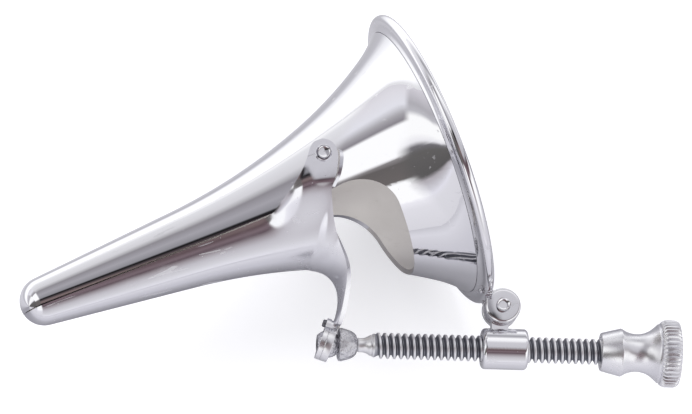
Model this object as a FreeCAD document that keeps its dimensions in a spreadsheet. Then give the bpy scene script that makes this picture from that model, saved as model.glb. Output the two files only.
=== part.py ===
import FreeCAD, Part
import math
import os

from FreeCAD import Placement, Rotation, Vector

import Sketcher

# A bivalve speculum with a thumbscrew, lying on its side, in millimetres and degrees.
# +X runs along the funnel from the blades' tips to its mouth, +Y lies in the plane of symmetry and points
# away from the screw, +Z is up. The origin is on the funnel's axis, level with the middle of the rim's bead.
SIZES = {
    # funnel and blades, drawn from one sheet
    "sheet": 0.8,
    "nose_radius": 3.85,
    "cone_angle": 5.7,
    "cone_length": 23.85,
    "throat_radius": 93.8,
    "bell_angle": 20.8,
    "bell_radius": 66.5,
    "flare_angle": 33.4,
    "flare_radius": 18.7,
    "mouth_angle": 48.0,
    "lip_depth": 1.4,
    "lip_rise": 1.6,
    "bead_radius": 0.8,
    # parting of the two blades and the window behind the lower one
    "seam_drop": 0.9,
    "blade_gap": 0.2,
    "window_back": 10.0,
    "window_corner": 7.0,
    "window_lean": 4.0,
    "heel_top_back": 18.9,
    "heel_hollow": 9.3,
    "heel_bend": 6.0,
    "heel_back": 20.3,
    "heel_turn": 7.4,
    "heel_slant": 32.0,
    # blade hinge
    "opening": 24.0,
    "hinge_back": 18.2,
    "hinge_rise": 4.4,
    "ear_radius": 2.3,
    "ear_stand": 12.8,
    "ear_sweep": 10.6,
    "ear_sweep_radius": 40.0,
    "ear_back_angle": 45.0,
    "ear_front_angle": 10.0,
    "ear_neck_front": 0.7,
    "ear_neck_drop": 3.9,
    "ear_bend": 0.8,
    "ear_root": 4.2,
    "ear_sink": 0.06,
    "ear_running_gap": 0.12,
    "boss_radius": 1.9,
    "hinge_gap": 0.12,
    "rivet_radius": 0.6,
    "rivet_head_radius": 1.25,
    "rivet_head_height": 0.6,
    "rivet_shank": 2.6,
    "rivet_play": 0.04,
    # ball joint at the lever's end
    "ball_back": 26.34,
    "ball_drop": 21.83,
    "ball_radius": 2.2,
    "ball_play": 0.06,
    "eye_tilt": 40.0,
    "eye_radius": 2.75,
    "eye_back": 0.5,
    "eye_front": 0.75,
    "retainer_thickness": 0.7,
    "tab_rise": 3.0,
    "tab_radius": 0.95,
    "clamp_screw_radius": 0.35,
    "clamp_head_radius": 0.6,
    "clamp_head_height": 0.55,
    "clamp_rivet_radius": 0.16,
    "clamp_rivet_head": 0.28,
    "clamp_rivet_reach": 2.47,
    # bell on the ball, journal and screw, measured along the screw from the ball's centre
    "bell_start": 1.8,
    "bell_mouth_radius": 2.6,
    "stem_radius": 1.3,
    "bell_end": 4.65,
    "bell_neck_radius": 1.05,
    "bell_curve": 6.0,
    "journal_radius": 0.65,
    "journal_play": 0.05,
    "peen_seat": 1.65,
    "peen_radius": 1.15,
    "peen_height": 0.6,
    "screw_shoulder": 0.06,
    "taper_end": 7.55,
    "taper_radius": 1.72,
    "thread_start": 8.0,
    "thread_radius": 2.04,
    "thread_end": 43.4,
    # knob
    "knob_start": 43.0,
    "knob_face_radius": 3.0,
    "knob_ridge": 3.15,
    "knob_ridge_radius": 3.8,
    "knob_ridge_run": 0.5,
    "knob_ridge_width": 0.35,
    "knob_ridge_drop": 0.12,
    "knob_waist": 5.4,
    "knob_waist_radius": 2.95,
    "knob_head": 9.35,
    "knob_head_radius": 5.35,
    "knob_head_length": 3.05,
    "knob_chamfer": 0.45,
    "knob_cup_radius": 2.35,
    "knob_cup_depth": 0.4,
    "knurl_depth": 0.32,
    "knurl_half_width": 0.29,
    "knurls": 45,
    "tail_radius": 1.5,
    "tail_length": 9.0,
    # swivel on the rim
    "pivot_front": 1.46,
    "pivot_drop": 26.1,
    "pivot_offset": 6.49,
    "cheek_radius": 2.8,
    "cheek_thickness": 1.3,
    "cheek_rounding": 0.35,
    "foot_back": 1.1,
    "foot_front": 1.0,
    "foot_reach": 1.12,
    "foot_top": 0.2,
    "foot_side": 2.24,
    "tongue_thickness": 2.1,
    "tongue_gap": 0.1,
    "pin_radius": 0.8,
    "pin_fit": 0.02,
    "pin_head_radius": 1.2,
    "pin_head_height": 0.5,
    # nut: its eye is wider than the pin, to take up the play of the linkage
    "nut_length": 7.2,
    "nut_radius": 3.2,
    "nut_front": 0.43,
    "nut_rounding": 0.6,
    "nut_bore_play": 0.06,
    "eye_lift": 0.58,
    "eye_shift": 0.1,
    "tongue_radius": 1.75,
    "tongue_neck": 2.6,
    "slot_width": 2.4,
    "slot_length": 3.0,
}

doc = FreeCAD.newDocument("bivalve_speculum")
sheet = doc.addObject("Spreadsheet::Sheet", "dims")
for row, (alias, value) in enumerate(SIZES.items(), start=1):
    sheet.set(f"A{row}", alias)
    sheet.set(f"B{row}", str(value))
    sheet.setAlias(f"B{row}", alias)
doc.recompute()


def size(expression):
    """The value of an expression in the sheet's names."""
    return float(sheet.evalExpression(expression.replace("dims.", "")))


def sketch_on(body, name, role="XY_Plane", lift=None):
    """A sketch on one of the body's own origin planes, lifted along the plane's normal."""
    sketch = body.newObject("Sketcher::SketchObject", name)
    plane = next(item for item in body.Origin.OriginFeatures if item.Role == role)
    sketch.AttachmentSupport = [(plane, "")]
    sketch.MapMode = "FlatFace"
    if lift:
        sketch.setExpression("AttachmentOffset.Base.z", lift)
    return sketch


def hold(sketch, constraint, expression):
    """Add a constraint and bind its value to the sheet."""
    index = sketch.addConstraint(constraint)
    sketch.setExpression(f"Constraints[{index}]", expression)


def outline(sketch, corners):
    """A closed outline through corners, each x, y and, where an arc leaves it, its radius and side.

    Side +1 puts the arc's centre on the left of the way round, side -1 on the right.
    """
    points = [Vector(size(corner[0]), size(corner[1]), 0) for corner in corners]
    first = sketch.GeometryCount
    ends = []
    for number, corner in enumerate(corners):
        start = points[number]
        end = points[(number + 1) % len(points)]
        if len(corner) == 2:
            sketch.addGeometry(Part.LineSegment(start, end), False)
            ends.append((1, 2))
            continue
        radius = size(corner[2])
        chord = end - start
        left = Vector(-chord.y, chord.x, 0).normalize()
        rise = math.sqrt(radius ** 2 - (chord.Length / 2) ** 2)
        centre = (start + end) * 0.5 + left * (rise * corner[3])
        turn_start = math.atan2(start.y - centre.y, start.x - centre.x)
        turn_end = math.atan2(end.y - centre.y, end.x - centre.x)
        circle = Part.Circle(centre, Vector(0, 0, 1), radius)
        if corner[3] > 0:
            sketch.addGeometry(Part.ArcOfCircle(circle, turn_start, turn_end), False)
            ends.append((1, 2))
        else:
            sketch.addGeometry(Part.ArcOfCircle(circle, turn_end, turn_start), False)
            ends.append((2, 1))
    for number, corner in enumerate(corners):
        edge = first + number
        before = first + (number - 1) % len(corners)
        begin = ends[number][0]
        sketch.addConstraint(Sketcher.Constraint("Coincident", before, ends[number - 1][1], edge, begin))
        point = points[number]
        if corner[0] == "0":
            sketch.addConstraint(Sketcher.Constraint("PointOnObject", edge, begin, -2))
        else:
            hold(sketch, Sketcher.Constraint("DistanceX", -1, 1, edge, begin, point.x), corner[0])
        if corner[1] == "0":
            sketch.addConstraint(Sketcher.Constraint("PointOnObject", edge, begin, -1))
        else:
            hold(sketch, Sketcher.Constraint("DistanceY", -1, 1, edge, begin, point.y), corner[1])
        if len(corner) > 2:
            hold(sketch, Sketcher.Constraint("Radius", edge, size(corner[2])), corner[2])


def disc(sketch, x, y, radius):
    """A circle whose centre and radius are bound to the sheet."""
    circle = Part.Circle(Vector(size(x), size(y), 0), Vector(0, 0, 1), size(radius))
    edge = sketch.addGeometry(circle, False)
    if x == "0":
        sketch.addConstraint(Sketcher.Constraint("PointOnObject", edge, 3, -2))
    else:
        hold(sketch, Sketcher.Constraint("DistanceX", -1, 1, edge, 3, size(x)), x)
    if y == "0":
        sketch.addConstraint(Sketcher.Constraint("PointOnObject", edge, 3, -1))
    else:
        hold(sketch, Sketcher.Constraint("DistanceY", -1, 1, edge, 3, size(y)), y)
    hold(sketch, Sketcher.Constraint("Radius", edge, size(radius)), radius)


def turned(body, name, corners, kind="PartDesign::Revolution"):
    """Revolve an outline about the body's X axis, to add or to cut."""
    sketch = sketch_on(body, name + "_profile")
    outline(sketch, corners)
    feature = body.newObject(kind, name)
    feature.Profile = sketch
    feature.ReferenceAxis = (sketch, ["H_Axis"])
    feature.Angle = 360
    doc.recompute()
    return feature


def through(body, name, sketch, length, kind="PartDesign::Pocket"):
    """Pad or pocket a sketch by a length shared between the two sides of its plane."""
    feature = body.newObject(kind, name)
    feature.Profile = sketch
    feature.SideType = "Symmetric"
    feature.setExpression("Length", length)
    doc.recompute()
    return feature


def new_body(name):
    body = doc.addObject("PartDesign::Body", name)
    body.Label = name
    return body


def mirrored_pair(source, name):
    """The source and its mirror image in the plane of symmetry, as one object of two solids."""
    mirror = doc.addObject("Part::Mirroring", name + "_mirror")
    mirror.Source = source
    mirror.Normal = (0, 0, 1)
    pair = doc.addObject("Part::Compound", name)
    pair.Links = [source, mirror]
    return pair


# Stations of the trumpet: the nose's centre on the axis, then each place where one curve meets the next.
def minus_sines(radius, steep, flat):
    return f"dims.{radius}*(sin(dims.{steep})-sin(dims.{flat}))"


def minus_cosines(radius, steep, flat):
    return f"dims.{radius}*(cos(dims.{flat})-cos(dims.{steep}))"


MOUTH_X = "-dims.lip_depth"
FLARE_X = f"({MOUTH_X}-{minus_sines('flare_radius', 'mouth_angle', 'flare_angle')})"
BELL_X = f"({FLARE_X}-{minus_sines('bell_radius', 'flare_angle', 'bell_angle')})"
CONE_X = f"({BELL_X}-{minus_sines('throat_radius', 'bell_angle', 'cone_angle')})"
NOSE_X = f"({CONE_X}-dims.cone_length*cos(dims.cone_angle)+dims.nose_radius*sin(dims.cone_angle))"
CONE_Y = "(dims.nose_radius*cos(dims.cone_angle)+dims.cone_length*sin(dims.cone_angle))"
BELL_Y = f"({CONE_Y}+{minus_cosines('throat_radius', 'bell_angle', 'cone_angle')})"
FLARE_Y = f"({BELL_Y}+{minus_cosines('bell_radius', 'flare_angle', 'bell_angle')})"
MOUTH_Y = f"({FLARE_Y}+{minus_cosines('flare_radius', 'mouth_angle', 'flare_angle')})"
BEAD_Y = f"({MOUTH_Y}+dims.lip_rise)"
RIM_Y = f"({BEAD_Y}+dims.bead_radius)"


def trumpet(inset, end):
    """Corners of the trumpet's profile from its nose to the mouth, moved in by the wall's thickness."""

    def station(x, y, angle):
        return f"{x}+{inset}*sin(dims.{angle})", f"{y}-{inset}*cos(dims.{angle})"

    nose = f"(dims.nose_radius-{inset})"
    corners = [
        (f"{NOSE_X}-{nose}", "0", nose, -1),
        (f"{NOSE_X}-{nose}*sin(dims.cone_angle)", f"{nose}*cos(dims.cone_angle)"),
        (*station(CONE_X, CONE_Y, "cone_angle"), f"dims.throat_radius+{inset}", 1),
        (*station(BELL_X, BELL_Y, "bell_angle"), f"dims.bell_radius+{inset}", 1),
        (*station(FLARE_X, FLARE_Y, "flare_angle"), f"dims.flare_radius+{inset}", 1),
        station(MOUTH_X, MOUTH_Y, "mouth_angle"),
    ]
    return corners + end


def trumpet_radius(x):
    """Outer radius of the trumpet at x, from the same curves as its profile."""
    if x < size(CONE_X):
        return size(CONE_Y) + (x - size(CONE_X)) * math.tan(math.radians(size("dims.cone_angle")))
    curves = [
        (CONE_X, CONE_Y, "dims.throat_radius", "dims.cone_angle", BELL_X),
        (BELL_X, BELL_Y, "dims.bell_radius", "dims.bell_angle", FLARE_X),
        (FLARE_X, FLARE_Y, "dims.flare_radius", "dims.flare_angle", MOUTH_X),
    ]
    for start_x, start_y, radius, angle, end_x in curves:
        if x <= size(end_x):
            slope = math.radians(size(angle))
            reach = x - size(start_x) + size(radius) * math.sin(slope)
            height = math.sqrt(size(radius) ** 2 - reach ** 2)
            return size(start_y) + size(radius) * math.cos(slope) - height
    return size(MOUTH_Y)


# Funnel: a spun trumpet with a rolled rim. Its upper half runs on as the fixed blade, and a window is cut out
# of its lower half. Two flat bosses outside carry the hinge rivets.
RIM_SPAN = f"2*{RIM_Y}+4*dims.cheek_radius"
FAR_X = f"{NOSE_X}-3*dims.nose_radius"
FAR_Y = f"-({RIM_Y}+dims.cheek_radius)"
SEAM_Y = "-dims.seam_drop"
LIP = "dims.bead_radius"

funnel = new_body("funnel")
lip = [
    (f"-{LIP}*sin(dims.mouth_angle)", f"{BEAD_Y}+{LIP}*cos(dims.mouth_angle)", LIP, -1),
    (f"{LIP}", BEAD_Y, LIP, -1),
    ("0", f"{BEAD_Y}-{LIP}"),
    (f"{MOUTH_X}+2*dims.sheet*sin(dims.mouth_angle)", f"{MOUTH_Y}-2*dims.sheet*cos(dims.mouth_angle)"),
    (f"{MOUTH_X}+2*dims.sheet*sin(dims.mouth_angle)", "0"),
]
turned(funnel, "spinning", trumpet("0", lip))
boss = sketch_on(funnel, "boss_circle")
disc(boss, "-dims.hinge_back", "dims.hinge_rise", "dims.boss_radius")
through(funnel, "bosses", boss, "2*(dims.ear_stand-dims.hinge_gap)", "PartDesign::Pad")
inner = [
    (f"{MOUTH_X}+2.5*dims.sheet*sin(dims.mouth_angle)", f"{MOUTH_Y}-dims.sheet*cos(dims.mouth_angle)"),
    (f"{MOUTH_X}+2.5*dims.sheet*sin(dims.mouth_angle)", "0"),
]
turned(funnel, "hollow", trumpet("dims.sheet", inner), "PartDesign::Groove")
window = sketch_on(funnel, "window_outline")
WINDOW_X = "(-dims.window_back)"
CORNER_Y = f"({SEAM_Y}-dims.window_corner)"
outline(window, [
    (FAR_X, SEAM_Y),
    (FAR_X, FAR_Y),
    (f"{WINDOW_X}-({FAR_Y}-{CORNER_Y})*tan(dims.window_lean)", FAR_Y),
    (WINDOW_X, CORNER_Y, "dims.window_corner", 1),
    (f"{WINDOW_X}-dims.window_corner", SEAM_Y),
])
through(funnel, "window", window, RIM_SPAN)
bore = sketch_on(funnel, "hinge_bore_circle")
disc(bore, "-dims.hinge_back", "dims.hinge_rise", "dims.rivet_radius")
through(funnel, "hinge_bores", bore, RIM_SPAN)

# Lower blade: the matching half shell, cut off at the heel, where the sheet turns down into the lever.
blade = new_body("blade_shell")
turned(blade, "blade_spinning", trumpet("0", [(MOUTH_X, "0")]))
turned(blade, "blade_hollow", trumpet("dims.sheet", inner), "PartDesign::Groove")
heel = sketch_on(blade, "heel_outline")
BLADE_Y = f"({SEAM_Y}-dims.blade_gap)"
HEEL_TOP = "(-dims.heel_top_back)"
HEEL_X = "(-dims.heel_back)"
HEEL_LOW = f"{HEEL_X}+({FAR_Y}+dims.heel_turn)/tan(dims.heel_slant)"
outline(heel, [
    (FAR_X, BLADE_Y),
    (HEEL_TOP, BLADE_Y, "dims.heel_hollow", 1),
    (HEEL_X, "-dims.heel_bend"),
    (HEEL_X, "-dims.heel_turn"),
    (HEEL_LOW, FAR_Y),
    ("dims.lip_rise*4", FAR_Y),
    ("dims.lip_rise*4", RIM_Y),
    (FAR_X, RIM_Y),
])
through(blade, "heel_cut", heel, RIM_SPAN)


# Ear: the sheet steps out over the fixed blade and runs up to a flat round plate at the rivet. Its outer face
# is lofted along the blade, its outline is cut square to the plane of symmetry, and its inner face is relieved
# where the fixed blade passes it as the hinge turns.
hinge_x = -size("dims.hinge_back")
hinge_y = size("dims.hinge_rise")
ear_inner = size("dims.ear_stand")
ear_outer = ear_inner + size("dims.sheet")


def ear_section(x, step):
    """A closed section across the ear's sheet at x; step is its share of the way out to the flat plate."""
    radius = trumpet_radius(x) - size("dims.ear_sink")
    flat = radius + step * (ear_outer - radius)
    top = hinge_y + 2 * size("dims.ear_radius")
    root_y = -size("dims.ear_root")
    bend_y = size("dims.ear_bend")
    reach = (bend_y - root_y) / 3
    faces = []
    for inset in (0, size("dims.sheet")):
        ring = radius - inset
        root_z = math.sqrt(ring ** 2 - root_y ** 2)
        plate = flat - inset
        corners = [(root_y, root_z), (root_y + reach * root_z / ring, root_z - reach * root_y / ring),
                   (bend_y - reach, plate), (bend_y, plate)]
        bend = Part.BezierCurve()
        bend.setPoles([Vector(x, y, z) for y, z in corners])
        faces.append((bend, corners, plate))
    outer, inner = faces
    outer_top = Vector(x, top, outer[2])
    inner_top = Vector(x, top, inner[2])
    edges = [
        outer[0].toShape(),
        Part.makeLine(Vector(x, bend_y, outer[2]), outer_top),
        Part.makeLine(outer_top, inner_top),
        Part.makeLine(inner_top, Vector(x, bend_y, inner[2])),
        inner[0].toShape(),
        Part.makeLine(Vector(x, *inner[1][0]), Vector(x, *outer[1][0])),
    ]
    return Part.Wire(edges)


ear_start = hinge_x - size("dims.ear_sweep")
ear_length = size("dims.ear_sweep+1.5*dims.ear_radius")
steps = ((-0.06, 0.02), (0.12, 0.08), (0.26, 0.27), (0.38, 0.62), (0.48, 0.9), (0.56, 1.0), (0.64, 1.0), (0.8, 1.0),
         (1.02, 1.0))
ear_sheet = Part.makeLoft([ear_section(ear_start + share * ear_length, step) for share, step in steps], True, False)

ear_prism = new_body("ear_outline")
ear_sketch = sketch_on(ear_prism, "ear_profile")
EAR_X = "-dims.hinge_back"
EAR_Y = "dims.hinge_rise"
outline(ear_sketch, [
    (f"{EAR_X}-dims.ear_sweep", BLADE_Y, "dims.ear_sweep_radius", 1),
    (f"{EAR_X}-dims.ear_radius*sin(dims.ear_back_angle)", f"{EAR_Y}+dims.ear_radius*cos(dims.ear_back_angle)",
     "dims.ear_radius", -1),
    (f"{EAR_X}+dims.ear_radius*cos(dims.ear_front_angle)", f"{EAR_Y}-dims.ear_radius*sin(dims.ear_front_angle)"),
    (f"{EAR_X}+dims.ear_neck_front", f"{EAR_Y}-dims.ear_neck_drop"),
    (HEEL_TOP, BLADE_Y, "dims.heel_hollow", 1),
    (HEEL_X, "-dims.heel_bend"),
    (f"{EAR_X}-dims.ear_sweep", "-dims.heel_bend"),
])
through(ear_prism, "ear_prism", ear_sketch, RIM_SPAN, "PartDesign::Pad")
passing = new_body("passing_blade")
turned(passing, "passing_spinning", trumpet("(-dims.ear_running_gap)", [(MOUTH_X, "0")]))
above = sketch_on(passing, "above_seam")
outline(above, [(FAR_X, f"{SEAM_Y}-dims.blade_gap/2"), (FAR_X, FAR_Y), ("4*dims.lip_rise", FAR_Y),
                ("4*dims.lip_rise", f"{SEAM_Y}-dims.blade_gap/2")])
through(passing, "above_seam_cut", above, RIM_SPAN)
opening = size("dims.opening")
ear_reach = 4 * ear_length
below_plate = Part.makeBox(ear_reach, ear_reach, ear_outer, Vector(ear_start - ear_length, -ear_length, 0))
ear_shape = ear_sheet.common(ear_prism.Shape).common(below_plate)
for share in (0, 0.25, 0.5, 0.75, 1):
    swept = passing.Shape.copy()
    swept.rotate(Vector(hinge_x, hinge_y, 0), Vector(0, 0, 1), -share * opening)
    ear_shape = ear_shape.cut(swept)
hinge_foot = Vector(hinge_x, hinge_y, 0)
ear_shape = ear_shape.cut(Part.makeCylinder(size("1.2*dims.ear_radius"), ear_inner, hinge_foot))
ear_shape = ear_shape.cut(Part.makeCylinder(size("dims.rivet_radius+dims.rivet_play"), 2 * ear_outer, hinge_foot))
ear = doc.addObject("Part::Feature", "ear")
ear.Shape = max(ear_shape.Solids, key=lambda solid: solid.Volume)
ear_mirror = doc.addObject("Part::Mirroring", "ear_mirror")
ear_mirror.Source = ear
ear_mirror.Normal = (0, 0, 1)

# Lever: the heel's trough narrows and flattens as it turns down to the eye.
eye_tilt = math.radians(size("dims.eye_tilt"))
ball = Vector(-size("dims.ball_back"), -size("dims.ball_drop"), 0)
eye_axis = Vector(math.cos(eye_tilt), -math.sin(eye_tilt), 0)
eye_up = Vector(math.sin(eye_tilt), math.cos(eye_tilt), 0)


def trough(x, y, heading, half_width, depth):
    """One cross-section of the lever's sheet: its back at x, y, its edges raised by depth."""
    turn = math.radians(heading)
    up = Vector(-math.sin(turn), math.cos(turn), 0)
    wide = Vector(0, 0, 1)
    base = Vector(x, y, 0)
    thick = size("dims.sheet")
    outer = Part.Arc(base + up * depth - wide * half_width, base, base + up * depth + wide * half_width)
    inner_depth = depth + thick * 0.35
    inner_width = half_width - thick * 0.55 * min(1, depth / half_width)
    inner_arc = Part.Arc(base + up * inner_depth + wide * inner_width, base + up * thick,
                         base + up * inner_depth - wide * inner_width)
    ends = [Part.LineSegment(outer.EndPoint, inner_arc.StartPoint),
            Part.LineSegment(inner_arc.EndPoint, outer.StartPoint)]
    return Part.Wire([outer.toShape(), ends[0].toShape(), inner_arc.toShape(), ends[1].toShape()])


tab_end = ball + eye_up * size("dims.tab_rise") - eye_axis * size("dims.eye_back")
heel_x = ball.x + 1.34
stations = [
    (heel_x, -trumpet_radius(heel_x), -17, 8.0, 4.2),
    (heel_x + 2.0, -10.75, -40, 7.5, 3.7),
    (heel_x + 3.25, -12.3, -68, 6.1, 2.2),
    (heel_x + 3.45, -14.0, -92, 4.7, 1.3),
    (heel_x + 2.8, -15.8, -112, 3.5, 0.7),
    (heel_x + 1.75, -17.6, -124, 2.7, 0.4),
    (tab_end.x, tab_end.y, -(90 + size("dims.eye_tilt")), 2.1, 0.2),
]
lever = doc.addObject("Part::Feature", "lever")
lever.Shape = Part.makeLoft([trough(*station) for station in stations], True, False)

# Eye at the lever's end, a round plate in line with the lever's sheet, with a seat for the ball.
eye_place = Placement(ball, Rotation(Vector(0, 0, 1), -size("dims.eye_tilt")))


def across(body, name, start, height, draw, kind="PartDesign::Pad"):
    """Pad a sketch on the plane square to the body's X axis, from start along the axis."""
    sketch = sketch_on(body, name + "_outline", "YZ_Plane", start)
    draw(sketch)
    feature = body.newObject(kind, name)
    feature.Profile = sketch
    feature.setExpression("Length", height)
    doc.recompute()
    return feature


def tab_outline(sketch):
    """A slip with one round end, from the ball's centre up to the clamping screw."""
    outline(sketch, [
        ("0", "-dims.tab_radius"),
        ("dims.tab_rise", "-dims.tab_radius", "dims.tab_radius", 1),
        ("dims.tab_rise+dims.tab_radius", "0", "dims.tab_radius", 1),
        ("dims.tab_rise", "dims.tab_radius"),
        ("0", "dims.tab_radius"),
    ])


def seated(body):
    """Hollow the ball's seat and drill the clamping screw's and rivets' holes."""
    reach = "dims.ball_radius+dims.ball_play"
    turned(body, body.Name + "_seat", [(f"-({reach})", "0", reach, -1), ("0", reach, reach, -1), (reach, "0")],
           "PartDesign::Groove")
    holes = sketch_on(body, body.Name + "_holes_outline", "YZ_Plane")
    disc(holes, "dims.tab_rise", "0", "dims.clamp_screw_radius")
    disc(holes, "0", "dims.clamp_rivet_reach", "dims.clamp_rivet_radius")
    disc(holes, "0", "-dims.clamp_rivet_reach", "dims.clamp_rivet_radius")
    through(body, body.Name + "_holes", holes, "4*dims.eye_radius")


eye = new_body("eye")
eye.Placement = eye_place
across(eye, "eye_disc", "-dims.eye_back", "dims.eye_back+dims.eye_front",
       lambda sketch: disc(sketch, "0", "0", "dims.eye_radius"))
across(eye, "eye_tab", "-dims.eye_back", "dims.sheet", tab_outline)
seated(eye)
lower_whole = doc.addObject("Part::MultiFuse", "lower_whole")
lower_whole.Shapes = [blade, ear, ear_mirror, lever, eye]
seat_ball = doc.addObject("Part::Sphere", "seat_ball")
seat_ball.setExpression("Radius", "dims.ball_radius+dims.ball_play")
seat_ball.Placement = eye_place
clamp_bore = doc.addObject("Part::Cylinder", "clamp_bore")
clamp_bore.setExpression("Radius", "dims.clamp_screw_radius")
clamp_bore.setExpression("Height", "4*dims.eye_radius")
clamp_bore.Placement = Placement(tab_end - eye_axis * size("2*dims.eye_radius"), Rotation(Vector(0, 0, 1), eye_axis))
seat_tools = doc.addObject("Part::MultiFuse", "seat_tools")
seat_tools.Shapes = [seat_ball, clamp_bore]
lower_blade = doc.addObject("Part::Cut", "lower_blade")
lower_blade.Base = lower_whole
lower_blade.Tool = seat_tools

# Hinge rivets: a domed head on the ear and a shank through the ear and the funnel's boss.
rivet = new_body("hinge_rivet_near")
RIVET_TOP = "dims.ear_stand+dims.sheet+dims.rivet_play"
RIVET_FOOT = "dims.ear_stand-dims.rivet_shank"
outline(sketch_on(rivet, "rivet_profile"), [
    (RIVET_FOOT, "0"),
    (f"{RIVET_TOP}+dims.rivet_head_height", "0"),
    (f"{RIVET_TOP}+0.4*dims.rivet_head_height", "0.85*dims.rivet_head_radius"),
    (RIVET_TOP, "dims.rivet_head_radius"),
    (RIVET_TOP, "dims.rivet_radius"),
    (RIVET_FOOT, "dims.rivet_radius"),
])
rivet_turn = rivet.newObject("PartDesign::Revolution", "rivet_turning")
rivet_turn.Profile = doc.getObject("rivet_profile")
rivet_turn.ReferenceAxis = (doc.getObject("rivet_profile"), ["H_Axis"])
rivet_turn.Angle = 360
rivet.Placement = Placement(Vector(hinge_x, hinge_y, 0), Rotation(Vector(0, 1, 0), -90))
hinge_rivets = mirrored_pair(rivet, "hinge_rivets")

# Retaining plate, its screw and rivets: they close the ball's seat from behind.
retainer = new_body("ball_retainer")
retainer.Placement = eye_place
BEHIND = "-(dims.eye_back+dims.retainer_thickness)"
across(retainer, "retainer_disc", BEHIND, "dims.retainer_thickness",
       lambda sketch: disc(sketch, "0", "0", "dims.eye_radius"))
across(retainer, "retainer_tab", BEHIND, "dims.retainer_thickness", tab_outline)
seated(retainer)

clamp = new_body("retainer_screw")
clamp.Placement = Placement(ball + eye_up * size("dims.tab_rise"), eye_place.Rotation)
turned(clamp, "clamp_turning", [
    (f"{BEHIND}-dims.clamp_head_height", "0"),
    (f"{BEHIND}-dims.clamp_head_height", "0.8*dims.clamp_head_radius"),
    (f"{BEHIND}-0.7*dims.clamp_head_height", "dims.clamp_head_radius"),
    (BEHIND, "dims.clamp_head_radius"),
    (BEHIND, "dims.clamp_screw_radius"),
    ("dims.sheet-dims.eye_back", "dims.clamp_screw_radius"),
    ("dims.sheet-dims.eye_back", "0"),
])

clamp_rivet = new_body("retainer_rivet_near")
clamp_rivet.Placement = Placement(ball + Vector(0, 0, size("dims.clamp_rivet_reach")), eye_place.Rotation)
turned(clamp_rivet, "clamp_rivet_turning", [
    (f"{BEHIND}-dims.clamp_rivet_head", "0", "dims.clamp_rivet_head", -1),
    (BEHIND, "dims.clamp_rivet_head"),
    (BEHIND, "dims.clamp_rivet_radius"),
    ("dims.eye_front", "dims.clamp_rivet_radius"),
    ("dims.eye_front", "0"),
])
retainer_rivets = mirrored_pair(clamp_rivet, "retainer_rivets")

# The screw's own axis: from the ball's centre, past the swivel's pivot at the nut's offset.
pivot = Vector(size("dims.pivot_front"), -size("dims.pivot_drop"), 0)
pivot_way = pivot - ball
screw_tilt = math.degrees(math.atan2(pivot_way.y, pivot_way.x)
                          - math.asin(size("dims.pivot_offset") / pivot_way.Length))
screw_place = Placement(ball, Rotation(Vector(0, 0, 1), screw_tilt))

# Ball and bell in one piece, bored for the screw's journal.
swivel_ball = new_body("swivel_ball")
swivel_ball.Placement = screw_place
STEM_X = "sqrt(dims.ball_radius^2-dims.stem_radius^2)"
PEEN_Y = "sqrt(dims.ball_radius^2-dims.peen_seat^2)"
BORE = "dims.journal_radius+dims.journal_play"
turned(swivel_ball, "ball_turning", [
    ("-dims.peen_seat", BORE),
    ("-dims.peen_seat", PEEN_Y, "dims.ball_radius", -1),
    (STEM_X, "dims.stem_radius"),
    ("dims.bell_start", "dims.stem_radius"),
    ("dims.bell_start", "dims.bell_mouth_radius", "dims.bell_curve", -1),
    ("dims.bell_end", "dims.bell_neck_radius"),
    ("dims.bell_end", BORE),
])

# Screw: journal with a peened end behind the ball, tapered neck, rod and the tail that the knob sits on.
screw = new_body("screw")
screw.Placement = screw_place
PEEN_X = "-(dims.peen_seat+dims.journal_play)"
NECK_X = "dims.bell_end+dims.screw_shoulder"
TAIL_X = "dims.knob_start+dims.knob_cup_depth"
turned(screw, "screw_turning", [
    (f"{PEEN_X}-dims.peen_height", "0"),
    (f"{PEEN_X}-0.5*dims.peen_height", "0.8*dims.peen_radius"),
    (PEEN_X, "dims.peen_radius"),
    (PEEN_X, "dims.journal_radius"),
    (NECK_X, "dims.journal_radius"),
    (NECK_X, "dims.bell_neck_radius"),
    ("dims.taper_end", "dims.taper_radius"),
    ("dims.thread_start", "dims.thread_radius"),
    ("dims.thread_end", "dims.thread_radius"),
    ("dims.thread_end", "dims.tail_radius"),
    (f"{TAIL_X}+dims.tail_length", "dims.tail_radius"),
    (f"{TAIL_X}+dims.tail_length", "0"),
])

# Knob: turned with a cupped face, a ridge, a waist and a head with straight knurls round it.
knob = new_body("knob")
knob.Placement = screw_place
RIDGE_X = "dims.knob_start+dims.knob_ridge"
HEAD_X = "dims.knob_start+dims.knob_head"
HEAD_END = f"{HEAD_X}+dims.knob_head_length"
turned(knob, "knob_turning", [
    (TAIL_X, "dims.tail_radius"),
    (TAIL_X, "dims.knob_cup_radius"),
    ("dims.knob_start", "dims.knob_cup_radius"),
    ("dims.knob_start", "dims.knob_face_radius"),
    (f"{RIDGE_X}-dims.knob_ridge_run", "dims.knob_ridge_radius-dims.knob_ridge_drop"),
    (RIDGE_X, "dims.knob_ridge_radius"),
    (f"{RIDGE_X}+dims.knob_ridge_width", "dims.knob_ridge_radius-dims.knob_ridge_drop", "2*dims.knob_waist", 1),
    ("dims.knob_start+dims.knob_waist", "dims.knob_waist_radius", "2*dims.knob_waist", 1),
    (HEAD_X, "dims.knob_head_radius-2*dims.knob_chamfer"),
    (HEAD_X, "dims.knob_head_radius-dims.knob_chamfer"),
    (f"{HEAD_X}+dims.knob_chamfer", "dims.knob_head_radius"),
    (f"{HEAD_END}-dims.knob_chamfer", "dims.knob_head_radius"),
    (HEAD_END, "dims.knob_head_radius-dims.knob_chamfer"),
    (HEAD_END, "0"),
    (f"{TAIL_X}+dims.tail_length", "0"),
    (f"{TAIL_X}+dims.tail_length", "dims.tail_radius"),
])
knurl = sketch_on(knob, "knurl_outline", "YZ_Plane", HEAD_X)
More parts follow.
